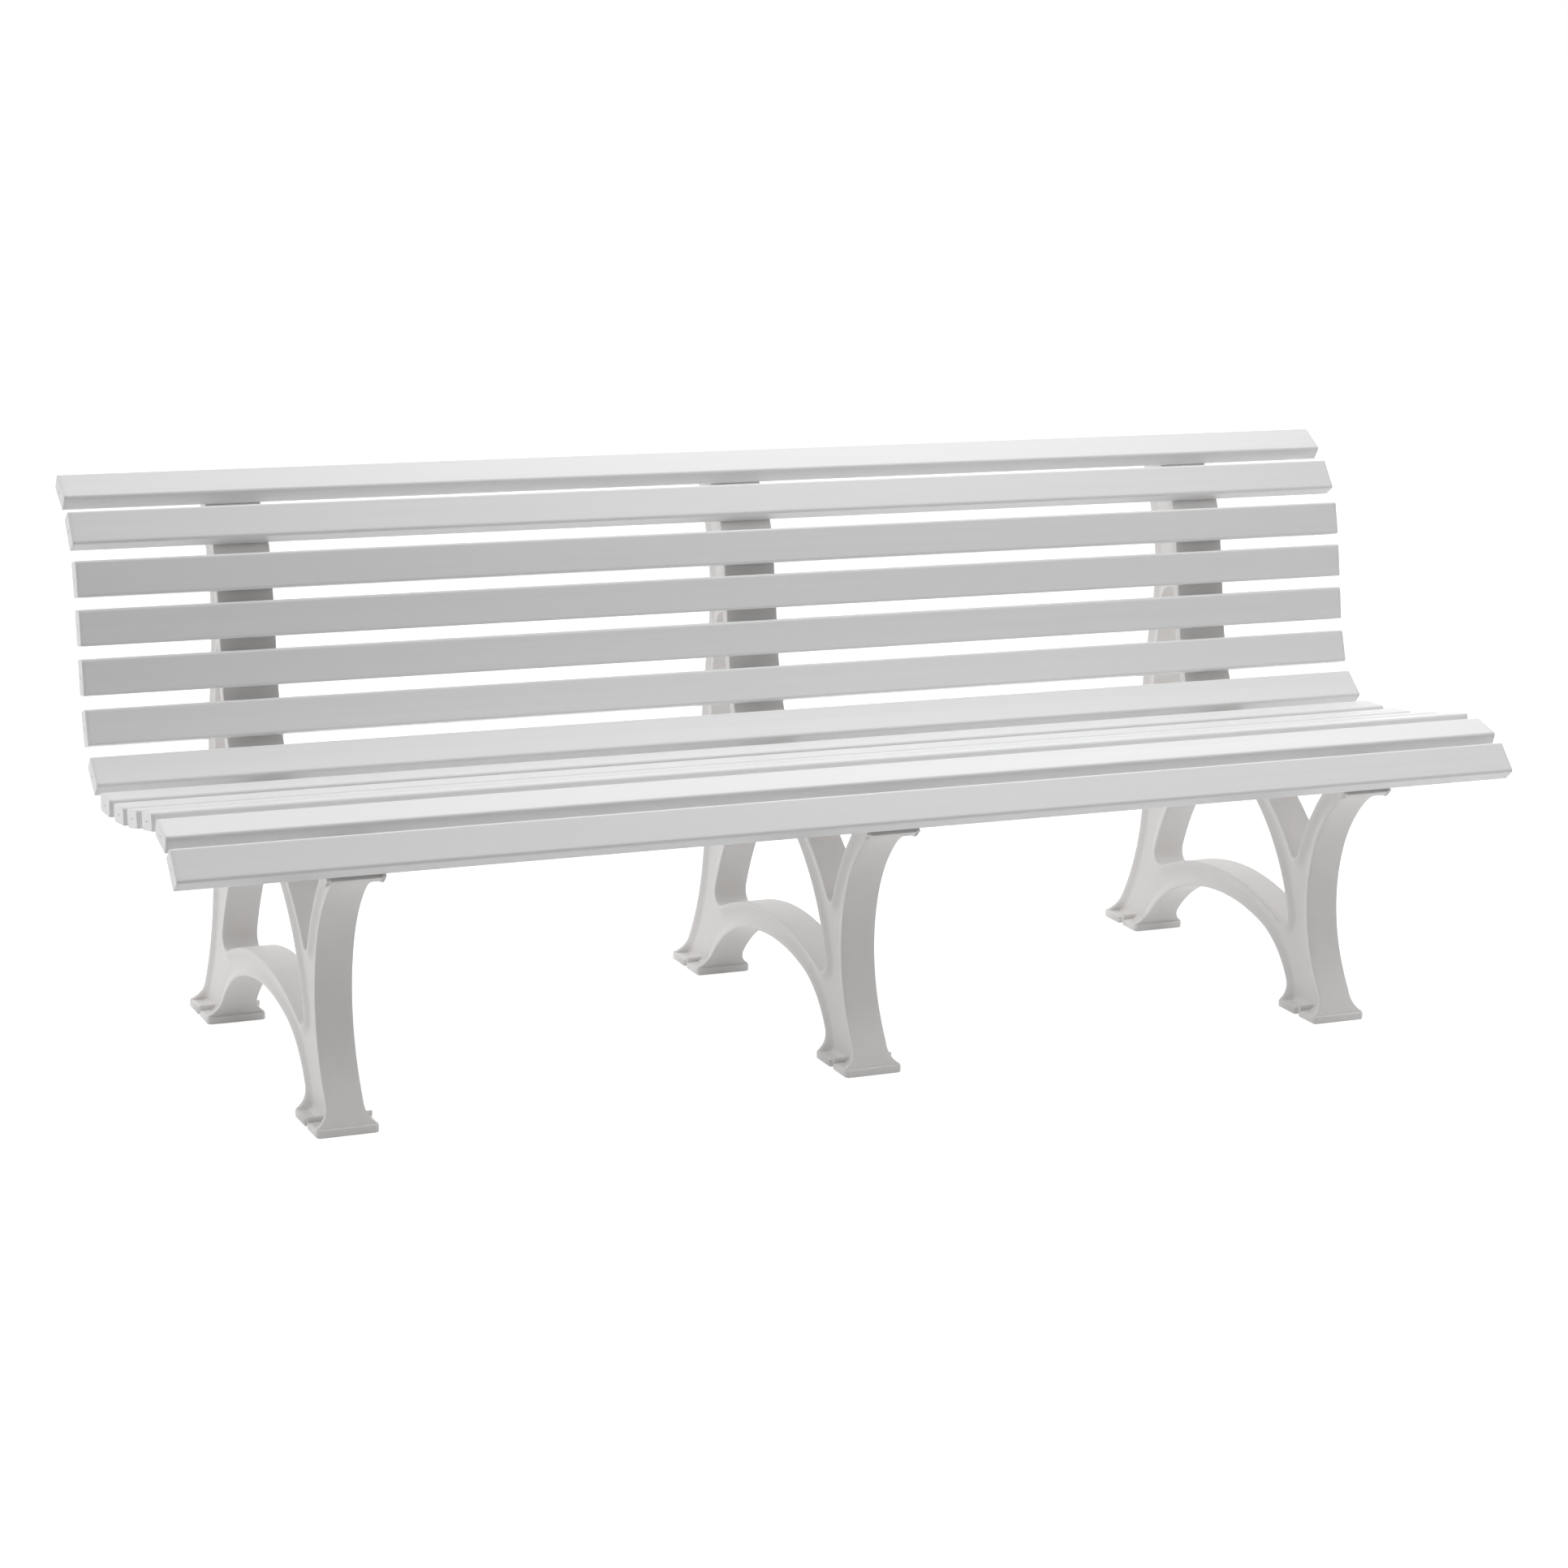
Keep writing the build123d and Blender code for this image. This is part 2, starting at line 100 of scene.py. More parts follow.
# %% [markdown]
# Every finish needs a little unevenness, and two kinds turn up again and again. Extruded plastic is
# drawn through a die, which leaves faint streaks along its length. Moulded plastic has a fine even
# grain and a slow, cloudy change of tone. Each is a node group, so that several materials can share it
# with their own values.

# %% Node group helpers
VALUE, COLOUR, VECTOR = "NodeSocketFloat", "NodeSocketColor", "NodeSocketVector"


def new_group(name, inputs, outputs):
    """An empty shader node group with named sockets, and its two end nodes."""
    group = bpy.data.node_groups.new(name, "ShaderNodeTree")
    for label, kind in inputs:
        group.interface.new_socket(name=label, in_out="INPUT", socket_type=kind)
    for label, kind in outputs:
        group.interface.new_socket(name=label, in_out="OUTPUT", socket_type=kind)
    return group, group.nodes.new("NodeGroupInput"), group.nodes.new("NodeGroupOutput")


def new_node(tree, kind, inputs=None, **settings):
    """A node with its properties set; an input is given by name as a value or as a socket to link from."""
    node = tree.nodes.new("ShaderNode" + kind)
    for key, value in settings.items():
        setattr(node, key, value)
    for key, value in (inputs or {}).items():
        if isinstance(value, bpy.types.NodeSocket):
            tree.links.new(value, node.inputs[key])
        else:
            node.inputs[key].default_value = value
    return node


def spread_noise(tree, vector, scale, detail, low, high):
    """Noise of a scale, stretched so that its values from low to high fill the range from 0 to 1."""
    noise = new_node(tree, "TexNoise", {"Vector": vector, "Scale": scale, "Detail": detail,
                                        "Roughness": 0.55})
    spread = new_node(tree, "MapRange", {"Value": noise.outputs[0], "From Min": low, "From Max": high})
    return spread.outputs[0]


# %% Die streaks group
def die_streaks():
    """Noise squeezed along X: the place times (along, across, across), so features run lengthwise."""
    group, start, end = new_group("die_streaks", [("Vector", VECTOR), ("Along", VALUE), ("Across", VALUE)],
                                  [("Broad", VALUE), ("Fine", VALUE)])
    along, across = start.outputs["Along"], start.outputs["Across"]
    squeeze = new_node(group, "CombineXYZ", {"X": along, "Y": across, "Z": across})
    place = new_node(group, "VectorMath", {0: start.outputs["Vector"], 1: squeeze.outputs[0]},
                     operation="MULTIPLY")
    group.links.new(spread_noise(group, place.outputs[0], 1.0, 2.0, 0.3, 0.7), end.inputs["Broad"])
    group.links.new(spread_noise(group, place.outputs[0], 5.0, 3.0, 0.3, 0.7), end.inputs["Fine"])
    return group


STREAKS = die_streaks()
print("group", STREAKS.name, [item.name for item in STREAKS.interface.items_tree])


# %% Moulded grain group
def moulded_grain():
    """Fine even noise for the grain, and slow noise for the cloudy tone of moulded plastic."""
    group, start, end = new_group("moulded_grain", [("Vector", VECTOR), ("Grain Scale", VALUE),
                                                    ("Cloud Scale", VALUE)],
                                  [("Grain", VALUE), ("Cloud", VALUE)])
    vector = start.outputs["Vector"]
    group.links.new(spread_noise(group, vector, start.outputs["Grain Scale"], 2.0, 0.25, 0.75),
                    end.inputs["Grain"])
    group.links.new(spread_noise(group, vector, start.outputs["Cloud Scale"], 3.0, 0.3, 0.7),
                    end.inputs["Cloud"])
    return group


GRAIN = moulded_grain()
print("group", GRAIN.name, [item.name for item in GRAIN.interface.items_tree])

# %% [markdown]
# The materials are all a Principled BSDF. A mask from a group mixes two close tones, moves the
# roughness and raises a very small bump. White plastic is never pure white, and the frames are a touch
# warmer than the slats. Painting a picture of plastic would be the other way, but it would not follow
# the real surface.


# %% Plastic material
def plastic(name, tones, roughness, bump, group, scales, masks):
    """The first mask mixes two tones and two roughnesses; the second mask, as a height, is the bump."""
    material = bpy.data.materials.new(name)
    material.use_nodes = True
    tree = material.node_tree
    shader = tree.nodes["Principled BSDF"]
    place = new_node(tree, "TexCoord").outputs["Object"]
    pattern = new_node(tree, "Group", node_tree=group)
    tree.links.new(place, pattern.inputs["Vector"])
    for label, scale in scales.items():
        pattern.inputs[label].default_value = scale
    tone_mask, height_mask = (pattern.outputs[label] for label in masks)
    tone = new_node(tree, "Mix", {0: tone_mask}, data_type="RGBA")
    tone.inputs[6].default_value = (*tones[0], 1.0)
    tone.inputs[7].default_value = (*tones[1], 1.0)
    rough = new_node(tree, "MapRange", {"Value": tone_mask, "To Min": roughness[0], "To Max": roughness[1]})
    relief = new_node(tree, "Bump", {"Height": height_mask, "Strength": 0.5, "Distance": bump * MM})
    tree.links.new(tone.outputs[2], shader.inputs["Base Color"])
    tree.links.new(rough.outputs[0], shader.inputs["Roughness"])
    tree.links.new(relief.outputs[0], shader.inputs["Normal"])
    return material


slat_plastic = plastic("slat_plastic", [(0.86, 0.86, 0.862), (0.88, 0.88, 0.882)], (0.33, 0.38), 0.04,
                       STREAKS, {"Along": 1.1, "Across": 130.0}, ("Broad", "Fine"))
cap_plastic = plastic("cap_plastic", [(0.855, 0.846, 0.846), (0.88, 0.871, 0.871)], (0.36, 0.44), 0.05,
                      GRAIN, {"Grain Scale": 1400.0, "Cloud Scale": 60.0}, ("Cloud", "Grain"))
frame_plastic = plastic("frame_plastic", [(0.85, 0.831, 0.817), (0.872, 0.853, 0.84)], (0.42, 0.52), 0.08,
                        GRAIN, {"Grain Scale": 900.0, "Cloud Scale": 22.0}, ("Cloud", "Grain"))
print("plastics:", slat_plastic.name, cap_plastic.name, frame_plastic.name)

# %% [markdown]
# The screws are bright steel. Steel gets its look from what it reflects, so the base tone is plain and
# the streaks only vary the roughness, as turning marks do.


# %% Steel material
def screw_steel_finish():
    """Metal whose tone and roughness follow fine streaks round the screw."""
    material = plastic("screw_steel", [(0.56, 0.56, 0.57), (0.66, 0.66, 0.66)], (0.24, 0.38), 0.02,
                       STREAKS, {"Along": 900.0, "Across": 300.0}, ("Broad", "Fine"))
    material.node_tree.nodes["Principled BSDF"].inputs["Metallic"].default_value = 1.0
    return material


SIDES = ("left", "middle", "right")
screw_steel = screw_steel_finish()
for side in SIDES:
    screws = nodes[f"{side}_frame_screws"]
    screws.data.materials.clear()
    screws.data.materials.append(screw_steel)
print("steel on", len(SIDES), "groups of screws")

# %% [markdown]
# New pieces are worked out as whole arrays of points in millimetres. A profile carried along a path
# gives a stack of rings, neighbouring rings are joined by four-sided faces, and a polygon closes each
# end. Closed shells that belong to one piece are put into one mesh, which is then welded and turned to
# face outwards.


# %% Mesh helpers
def ring_faces(rows, columns):
    """Four-sided faces between neighbouring rings, closed round each ring."""
    index = np.arange(rows * columns).reshape(rows, columns)
    after = np.roll(index, -1, axis=1)
    return np.stack([index[:-1], after[:-1], after[1:], index[1:]], axis=-1).reshape(-1, 4)


def closed_tube(rings):
    """A stack of rings of shape (rings, points, 3) as a closed shell, with a polygon over each end."""
    rows, columns, _ = rings.shape
    first = np.arange(columns)[None]
    return rings.reshape(-1, 3), [ring_faces(rows, columns), first, first + (rows - 1) * columns]


def build_piece(name, shells, material, replaced):
    """Puts closed shells of (points in mm, blocks of faces) into one smooth mesh that stands for a node."""
    faces = []
    count = 0
    for points, blocks in shells:
        for block in blocks:
            faces.extend((block + count).tolist())
        count += len(points)
    mesh = bpy.data.meshes.new(name)
    mesh.from_pydata(np.vstack([points for points, _ in shells]) * MM, [], faces)
    welded = bmesh.new()
    welded.from_mesh(mesh)
    bmesh.ops.remove_doubles(welded, verts=welded.verts, dist=0.002 * MM)
    bmesh.ops.recalc_face_normals(welded, faces=welded.faces)
    welded.to_mesh(mesh)
    welded.free()
    mesh.shade_smooth()
    mesh.materials.append(material)
    piece = bpy.data.objects.new(name, mesh)
    scene.collection.objects.link(piece)
    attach(piece, "root")
    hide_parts(replaced)
    return piece


# %% [markdown]
# Where each slat lies is read from the frame. The end cap has the slat's own section, a box with
# rounded corners, and the extent of a tilted box tells its tilt: with half flats a and b and a corner
# radius r, it reaches a cos t + b sin t + r along Y and a sin t + b cos t + r along Z. The points of
# the cap say which way it leans.

# %% Slat places
SLAT_WIDTH, SLAT_THICKNESS, SLAT_CORNER = 50.0, 25.0, 4.0
ROWS = (["front_slat_lower", "front_slat_upper"] + [f"seat_slat_{i}" for i in range(1, 5)] + ["corner_slat"]
        + [f"back_slat_{i}" for i in range(1, 7)])


def node_points(node):
    """All points of a node's mesh in millimetres."""
    points = np.empty(len(nodes[node].data.vertices) * 3)
    nodes[node].data.vertices.foreach_get("co", points)
    return points.reshape(-1, 3) / MM


def slat_place(row):
    """Centre (y, z) and tilt of a slat, solved from the half extents of its left cap."""
    points = node_points(f"{row}_left_cap")[:, 1:]
    low, high = points.min(0), points.max(0)
    a, b = SLAT_WIDTH / 2 - SLAT_CORNER, SLAT_THICKNESS / 2 - SLAT_CORNER
    cosine, sine = np.linalg.solve([[a, b], [b, a]], (high - low) / 2 - SLAT_CORNER)
    lean = np.sign(np.cov(points.T)[0, 1])
    return (low + high) / 2, lean * np.arctan2(sine, cosine)


PLACES = [slat_place(row) for row in ROWS]
SLAT_CENTRES = np.array([centre for centre, _ in PLACES])
TILTS = np.array([tilt for _, tilt in PLACES])
print("tilts:", np.round(np.degrees(TILTS), 1))

# %% [markdown]
# A slat is one rounded section drawn out along the bench. The corners are real arcs, because the soft
# bright line along an edge is what makes plastic look like plastic. Next to each arc sits one more
# point on the flat, so that smooth shading bends only inside the arc and the broad faces stay flat.

# %% Slat section
ARC_STEPS = 7
ARC_SUPPORT = 0.6


def rounded_box(width, height, radius):
    """Box outline with quarter-circle corners, counter-clockwise, with a support point beside each arc."""
    turns = np.radians(np.linspace(0.0, 90.0, ARC_STEPS))
    arc = radius * np.column_stack([np.cos(turns), np.sin(turns)])
    corner = np.vstack([arc[0] - (0.0, ARC_SUPPORT), arc, arc[-1] - (ARC_SUPPORT, 0.0)])
    quarters = []
    for quarter, (sx, sy) in enumerate([(1, 1), (-1, 1), (-1, -1), (1, -1)]):
        angle = quarter * np.pi / 2
        turn = np.array([[np.cos(angle), -np.sin(angle)], [np.sin(angle), np.cos(angle)]])
        quarters.append(corner @ turn.T + (sx * (width / 2 - radius), sy * (height / 2 - radius)))
    return np.vstack(quarters)


def slat_outline(inset):
    """The slat's section, drawn in by an inset all round."""
    return rounded_box(SLAT_WIDTH - 2 * inset, SLAT_THICKNESS - 2 * inset, SLAT_CORNER - inset)


def carry(outlines, stations, centre, tilt):
    """Rings of outlines (across, outwards) at stations along X, tilted about a centre in (y, z)."""
    across, outwards = outlines[..., 0], outlines[..., 1]
    y = centre[0] + across * np.cos(tilt) - outwards * np.sin(tilt)
    z = centre[1] + across * np.sin(tilt) + outwards * np.cos(tilt)
    x = np.broadcast_to(np.asarray(stations)[:, None], y.shape)
    return np.stack([x, y, z], axis=-1)


print("points in the slat's section:", len(slat_outline(0.0)))

# %% [markdown]
# Each end of a slat is drawn in by a hair, and so is the cap that meets it. The two small chamfers make
# the thin dark line that shows where the cap is pushed in.

# %% Slats
HALF_LENGTH = (cad_high.x - cad_low.x) / 2 / MM
CAP_THICKNESS = 3.0
BODY_HALF = HALF_LENGTH - CAP_THICKNESS
SEAM = 0.35
STATION_STEP = 125.0


def slat_surface(centre, tilt):
    """The section carried along X, full between the ends and drawn in over the seam at each end."""
    middle = np.arange(-BODY_HALF + STATION_STEP, BODY_HALF - STATION_STEP / 2, STATION_STEP)
    near_end = np.array([0.0, SEAM, 1.0])
    stations = np.concatenate([-BODY_HALF + near_end, middle, BODY_HALF - near_end[::-1]])
    insets = np.where(np.abs(stations) > BODY_HALF - SEAM / 2, SEAM, 0.0)
    outlines = np.stack([slat_outline(inset) for inset in insets])
    return closed_tube(carry(outlines, stations, centre, tilt))


slats = []
for row, (centre, tilt) in zip(ROWS, PLACES):
    shell = slat_surface(centre, tilt)
    slats.append(build_piece(f"{row}_skin", [shell], slat_plastic, row))
print("slats:", len(slats), "faces each:", len(slats[0].data.polygons))

# %% [markdown]
# An end cap is a thin plate with a rounded outer edge and a small gate dimple in its middle, where the
# plastic was let into the mould. Its rings start at the seam, go round the edge, run inwards over the
# face as they turn from the slat's outline to a circle, and drop into the dimple.

# %% End caps
CAP_EDGE = 1.2
DIMPLE_RADIUS, DIMPLE_DEPTH = 2.5, 1.2
# Radius and depth of the rings that make the dimple's soft rim, its wall and its floor
DIMPLE_RINGS = [(1.5, 0.0), (1.2, 0.0), (1.08, 0.08), (1.0, 0.3), (0.95, 0.85), (0.85, 1.0), (0.5, 1.0)]


def cap_surface(centre, tilt, outward):
    """Rings by height over the slat's end and inset: seam, side, quarter-round edge, face, dimple."""
    turns = np.radians(np.linspace(0.0, 90.0, 6))
    heights = [0.0, SEAM, 1.0, *(CAP_THICKNESS - CAP_EDGE + CAP_EDGE * np.sin(turns)), CAP_THICKNESS]
    insets = [SEAM, 0.0, 0.0, *(CAP_EDGE * (1.0 - np.cos(turns))), CAP_EDGE + ARC_SUPPORT]
    outlines = [slat_outline(inset) for inset in insets]
    spokes = outlines[-1] / np.linalg.norm(outlines[-1], axis=1, keepdims=True)
    for share, sunk in DIMPLE_RINGS:
        heights.append(CAP_THICKNESS - sunk * DIMPLE_DEPTH)
        outlines.append(spokes * share * DIMPLE_RADIUS)
    stations = outward * (BODY_HALF + np.array(heights))
    return closed_tube(carry(np.stack(outlines), stations, centre, tilt))


caps = []
for row, (centre, tilt) in zip(ROWS, PLACES):
    for side, outward in (("left", -1.0), ("right", 1.0)):
        node = f"{row}_{side}_cap"
        shell = cap_surface(centre, tilt, outward)
        caps.append(build_piece(f"{node}_skin", [shell], cap_plastic, node))
print("caps:", len(caps), "faces each:", len(caps[0].data.polygons))

# %% [markdown]
# The rail of a frame is a channel: a flange 80 mm wide under the slats with a lip along each side. It
# follows the slats, straight under each one and on an arc between two, so the path comes from the
# slats' own places. The arc's tilt grows evenly from one slat's to the next, which makes it meet both
# without a kink.

# %% Rail path
RAIL_END = 3.0
RAIL_START = 9.0
FLAT = SLAT_WIDTH / 2 - SLAT_CORNER
PATH_STEP = np.radians(3.0)


def rail_path():
    """Points (y, z) and tilts along the slats' seats: straight runs, and an arc between two of them.

    An arc's radius is its chord over twice the sine of half its turn.
    """
    along = np.column_stack([np.cos(TILTS), np.sin(TILTS)])
    outwards = np.column_stack([-np.sin(TILTS), np.cos(TILTS)])
    seats = SLAT_CENTRES - outwards * SLAT_THICKNESS / 2
    points, tilts = [], []
    last = len(ROWS) - 1
    for row, (seat, tilt) in enumerate(zip(seats, TILTS)):
        reach = FLAT if row < last else SLAT_WIDTH / 2 + RAIL_END
        shifts = np.linspace(-FLAT if row else RAIL_START - SLAT_WIDTH / 2, reach, 6)
        points.append(seat + shifts[:, None] * along[row])
        tilts.append(np.full(len(shifts), tilt))
        if row < last:
            turn = TILTS[row + 1] - tilt
            chord = seats[row + 1] - FLAT * along[row + 1] - points[-1][-1]
            radius = np.linalg.norm(chord) / (2 * np.sin(turn / 2))
            angles = tilt + turn * np.linspace(0.0, 1.0, max(5, int(abs(turn) / PATH_STEP) + 2))[1:-1]
            sweep = np.column_stack([np.sin(angles) - np.sin(tilt), np.cos(tilt) - np.cos(angles)])
            points.append(points[-1][-1] + radius * sweep)
            tilts.append(angles)
    return np.vstack(points), np.concatenate(tilts)


RAIL_POINTS, RAIL_TILTS = rail_path()
print("rail path:", len(RAIL_POINTS), "points,",
      round(float(np.linalg.norm(np.diff(RAIL_POINTS, axis=0), axis=1).sum())), "mm long")

# %% [markdown]
# The channel's profile is drawn as depth under the seat against distance from the middle. Drawing it in
# by an inset keeps every corner round, and the last few rings at each end use that to round the ends
# off, as a moulded edge is. At the front of the seat a lip runs across, a hair below the slat, with a
# small hook at each end.

# %% Rail surface
RAIL_WIDTH, RAIL_THICKNESS, RAIL_EDGE = 80.0, 6.0, 2.0
LIP_THICKNESS, LIP_DEPTH, LIP_FILLET = 5.0, 16.0, 3.0
FRONT_LIP_REACH, FRONT_LIP_THICKNESS, FRONT_LIP_EDGE = 2.5, 7.5, 1.0
FRONT_LIP_GAP, FRONT_LIP_DEPTH, FRONT_LIP_INDENT = 3.0, 13.0, 0.4
HOOK_GAP, HOOK_DEPTH, HOOK_WIDTH, HOOK_LENGTH = 0.3, 16.5, 5.5, 14.5
END_RINGS = 5


def arc_points(middle, radius, start, stop, steps=5):
    """Points on a circle about a middle from one angle to another, in degrees."""
    angles = np.radians(np.linspace(start, stop, steps))
    return np.asarray(middle) + radius * np.column_stack([np.cos(angles), np.sin(angles)])


def channel_outline(inset):
    """Half of the channel, from the middle of its top round the lip to its underside, and its mirror."""
    side, inner = RAIL_WIDTH / 2 - inset, RAIL_WIDTH / 2 - LIP_THICKNESS + inset
    under, low, edge = RAIL_THICKNESS - inset, LIP_DEPTH - inset, RAIL_EDGE - inset
    fillet = LIP_FILLET + inset
    half = np.vstack([
        [(0.0, inset), (side / 2, inset), (side - edge - ARC_SUPPORT, inset)],
        arc_points((side - edge, inset + edge), edge, -90.0, 0.0),
        [(side, inset + edge + ARC_SUPPORT), (side, low - edge - ARC_SUPPORT)],
        arc_points((side - edge, low - edge), edge, 0.0, 90.0),
        arc_points((inner + edge, low - edge), edge, 90.0, 180.0),
        [(inner, low - edge - ARC_SUPPORT), (inner, under + fillet + ARC_SUPPORT)],
        arc_points((inner - fillet, under + fillet), fillet, 0.0, -90.0),
        [(inner - fillet - ARC_SUPPORT, under), (inner / 2, under), (0.0, under)],
    ])
    mirrored = half[-2:0:-1] * (-1.0, 1.0)
    return np.vstack([half, mirrored])


def rounded_end(radius):
    """Shift along a bar and inset of its outline, for the rings that round its end off."""
    turns = np.radians(np.linspace(15.0, 90.0, END_RINGS))
    return radius * (1.0 - np.cos(turns)), radius * (1.0 - np.sin(turns))


def rail_surface(x):
    """The channel carried along the rail path at x, with rounded ends."""
    shift, inset = rounded_end(RAIL_EDGE)
    shift = shift[:, None]
    first, last = (np.array([np.cos(tilt), np.sin(tilt)]) for tilt in RAIL_TILTS[[0, -1]])
    points = np.vstack([RAIL_POINTS[0] + shift * first, RAIL_POINTS[1:-1],
                        RAIL_POINTS[-1] - shift[::-1] * last])
    tilts = np.repeat(RAIL_TILTS, [END_RINGS] + [1] * (len(RAIL_TILTS) - 2) + [END_RINGS])
    insets = np.concatenate([inset, np.zeros(len(RAIL_POINTS) - 2), inset[::-1]])
    outlines = np.stack([channel_outline(value) for value in insets])
    across, depth = outlines[..., 0], outlines[..., 1]
    y = points[:, :1] + depth * np.sin(tilts)[:, None]
    z = points[:, 1:] - depth * np.cos(tilts)[:, None]
    return closed_tube(np.stack([x + across, y, z], axis=-1))


FRONT_ALONG = np.array([np.cos(RAIL_TILTS[0]), np.sin(RAIL_TILTS[0])])
FRONT_UNDER = np.array([FRONT_ALONG[1], -FRONT_ALONG[0]])
FRONT_END = RAIL_POINTS[0] - (RAIL_START + FRONT_LIP_REACH) * FRONT_ALONG
FRONT_LIP = FRONT_END + FRONT_LIP_THICKNESS / 2 * FRONT_ALONG


def front_bar(x_low, x_high, length, gap, depth):
    """A rounded bar that runs back from the front end, between a gap and a depth under the slat."""
    shift, inset = rounded_end(FRONT_LIP_EDGE)
    stations = np.concatenate([x_low + shift, (x_high - shift)[::-1]])
    outlines = np.stack([rounded_box(length - 2 * value, depth - gap - 2 * value, FRONT_LIP_EDGE - value)
                         for value in np.concatenate([inset, inset[::-1]])])
    centre = FRONT_END + length / 2 * FRONT_ALONG + (gap + depth) / 2 * FRONT_UNDER
    return closed_tube(carry(outlines, stations, centre, RAIL_TILTS[0]))


def front_lip(x):
    """The lip across the front, and at each of its ends a deeper hook that runs back into the side lips."""
    side = RAIL_WIDTH / 2
    reach = side - FRONT_LIP_INDENT
    lip = front_bar(x - reach, x + reach, FRONT_LIP_THICKNESS, FRONT_LIP_GAP, FRONT_LIP_DEPTH)
    hooks = [front_bar(low, low + HOOK_WIDTH, HOOK_LENGTH, HOOK_GAP, HOOK_DEPTH)
             for low in (x - side, x + side - HOOK_WIDTH)]
    return [lip, *hooks]


print("points in the channel's profile:", len(channel_outline(0.0)))

# %% [markdown]
# Each foot is a plate with rounded corners and a U-shaped slot open at each side for a ground anchor.
# Its outline is a function of an inset, so a stack of outlines gives the plate its rounded upper edge.
# Across the plate, in front of the slots, runs a small rounded bead.

# %% Feet
BASE_WIDTH, BASE_LENGTH, BASE_THICKNESS = 86.0, 104.0, 11.0
BASE_CORNER, BASE_EDGE, BASE_CHAMFER = 6.0, 2.0, 0.8
FIXING_SLOT_WIDTH, FIXING_SLOT_DEPTH, FIXING_SLOT_SETBACK = 11.0, 13.0, 50.0
BEAD_WIDTH, BEAD_HEIGHT, BEAD_SETBACK, BEAD_LENGTH = 4.6, 7.0, 40.0, 90.0
MOUTH = 1.0


def foot_outline(inset):
    """The plate's outline about its middle, counter-clockwise from the front right, slots included."""
    side, end = BASE_WIDTH / 2 - inset, BASE_LENGTH / 2 - inset
    corner, slot = BASE_CORNER - inset, FIXING_SLOT_WIDTH / 2 + inset
    slot_y = FIXING_SLOT_SETBACK - BASE_LENGTH / 2
    slot_x = BASE_WIDTH / 2 - FIXING_SLOT_DEPTH + FIXING_SLOT_WIDTH / 2
    right = np.vstack([
        arc_points((side - corner, corner - end), corner, -90.0, 0.0, 7),
        [(side, slot_y - slot - MOUTH), (side - MOUTH, slot_y - slot)],
        arc_points((slot_x, slot_y), slot, -90.0, -270.0, 13),
        [(side - MOUTH, slot_y + slot), (side, slot_y + slot + MOUTH)],
        arc_points((side - corner, end - corner), corner, 0.0, 90.0, 7),
    ])
    return np.vstack([right, right[::-1] * (-1.0, 1.0)])


def foot_surface(place):
    """Outlines stacked from the ground up: chamfer, straight sides, quarter-round edge, flat top."""
    turns = np.radians(np.linspace(0.0, 90.0, 6))
    heights = [0.0, 0.0, BASE_CHAMFER, 2 * BASE_CHAMFER,
               *(BASE_THICKNESS - BASE_EDGE + BASE_EDGE * np.sin(turns)), BASE_THICKNESS]
    insets = [BASE_CHAMFER + ARC_SUPPORT, BASE_CHAMFER, 0.0, 0.0,
              *(BASE_EDGE * (1.0 - np.cos(turns))), BASE_EDGE + ARC_SUPPORT]
    outlines = np.stack([foot_outline(inset) for inset in insets])
    z = np.broadcast_to(np.array(heights)[:, None], outlines.shape[:2])
    return closed_tube(np.dstack([outlines + place, z]))


def bead_surface(place):
    """A ridge along X, a half circle on straight sides that sink into the plate, with rounded ends."""
    half, radius = BEAD_LENGTH / 2, BEAD_WIDTH / 2
    turns = np.radians(np.linspace(0.0, 80.0, 6))
    ends = half - radius + radius * np.sin(turns)
    x = np.concatenate([-ends[::-1], ends])
    scale = np.concatenate([np.cos(turns[::-1]), np.cos(turns)])
    arch = arc_points((0.0, 0.0), radius, 0.0, 180.0, 13)
    arch = np.vstack([(radius, -BEAD_HEIGHT), arch, (-radius, -BEAD_HEIGHT)])
    y = place[1] + BEAD_SETBACK - BASE_LENGTH / 2 + scale[:, None] * arch[:, 0]
    z = BASE_THICKNESS + BEAD_HEIGHT - radius + scale[:, None] * arch[:, 1]
    return closed_tube(np.stack([np.broadcast_to(place[0] + x[:, None], y.shape), y, z], axis=-1))


FEET = {mount["name"]: np.array(mount["pos_m"][:2]) / MM for mount in frame["record"]["mounts"]
        if mount["name"].endswith("_foot")}
print("feet:", {name: np.round(place, 1).tolist() for name, place in FEET.items()})

# %% [markdown]
# The legs, the arch and the arms are one moulding with three openings. Their side view is cut out of
# the frame's own solid, a slice just beside its middle, so the curves stay exactly where they are.
# Slicing a copy with a plane gives loose edges, and following them from point to point gives closed
# loops.

# %% Side view of the legs
SLICE_OFFSET = 10.0
FRAME_X = {side: FEET[f"{side}_front_foot"][0] for side in SIDES}


